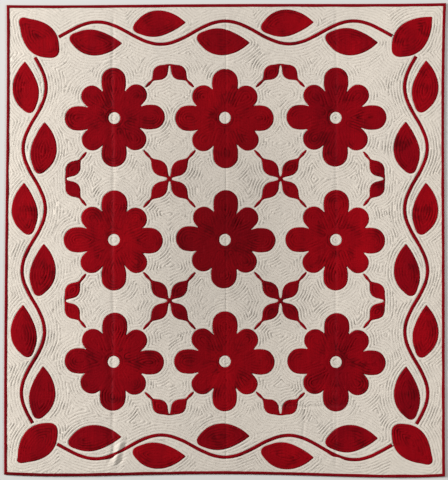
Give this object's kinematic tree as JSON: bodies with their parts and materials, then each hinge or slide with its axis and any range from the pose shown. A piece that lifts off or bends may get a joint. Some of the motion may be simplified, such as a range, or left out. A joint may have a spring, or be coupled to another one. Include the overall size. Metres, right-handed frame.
{
  "type": "two-colour applique quilt",
  "caption": "Bed quilt lying face up: a thin filled cream body with red cut and sewn flowers, sprays, vines and leaves, and a narrow folded binding.",
  "frame": {"origin": "under the middle of the quilt, on the surface it lies on", "axes": "+X across the quilt to the right as it is looked at, +Y up its length to the top edge, +Z out of its face"},
  "size_m": [2.0119, 2.1597, 0.0084],
  "materials": {
    "cream_cotton": "matt woven cotton, washed",
    "red_cotton": "matt woven cotton, dyed dark red",
    "bright_red_cotton": "matt woven cotton, dyed red, a little brighter",
    "red_binding": "matt woven cotton strip, folded over"
  },
  "bodies": {
    "root": {"quilt_body": "cream_cotton", "binding_top": "red_binding", "binding_right": "red_binding", "binding_bottom": "red_binding", "binding_left": "red_binding", "flower_1": "red_cotton", "flower_2": "bright_red_cotton", "flower_3": "red_cotton", "flower_4": "bright_red_cotton", "flower_5": "red_cotton", "flower_6": "bright_red_cotton", "flower_7": "red_cotton", "flower_8": "bright_red_cotton", "flower_9": "red_cotton", "spray_1": "bright_red_cotton", "spray_2": "red_cotton", "spray_3": "bright_red_cotton", "spray_4": "red_cotton", "spray_5": "bright_red_cotton", "spray_6": "red_cotton", "spray_7": "bright_red_cotton", "spray_8": "red_cotton", "spray_9": "bright_red_cotton", "spray_10": "red_cotton", "spray_11": "bright_red_cotton", "spray_12": "red_cotton", "vine_top": "red_cotton", "vine_right": "red_cotton", "vine_bottom": "red_cotton", "vine_left": "red_cotton", "leaf_top_1": "red_cotton", "leaf_top_2": "bright_red_cotton", "leaf_top_3": "red_cotton", "leaf_top_4": "bright_red_cotton", "leaf_top_5": "red_cotton", "leaf_right_1": "red_cotton", "leaf_right_2": "bright_red_cotton", "leaf_right_3": "red_cotton", "leaf_right_4": "bright_red_cotton", "leaf_right_5": "red_cotton", "leaf_right_6": "bright_red_cotton", "leaf_bottom_1": "red_cotton", "leaf_bottom_2": "bright_red_cotton", "leaf_bottom_3": "red_cotton", "leaf_bottom_4": "bright_red_cotton", "leaf_bottom_5": "red_cotton", "leaf_left_1": "red_cotton", "leaf_left_2": "bright_red_cotton", "leaf_left_3": "red_cotton", "leaf_left_4": "bright_red_cotton", "leaf_left_5": "red_cotton", "leaf_left_6": "bright_red_cotton", "leaf_corner_top_left": "bright_red_cotton", "leaf_corner_top_right": "bright_red_cotton", "leaf_corner_bottom_left": "bright_red_cotton", "leaf_corner_bottom_right": "bright_red_cotton"}
  },
  "joints": []
}
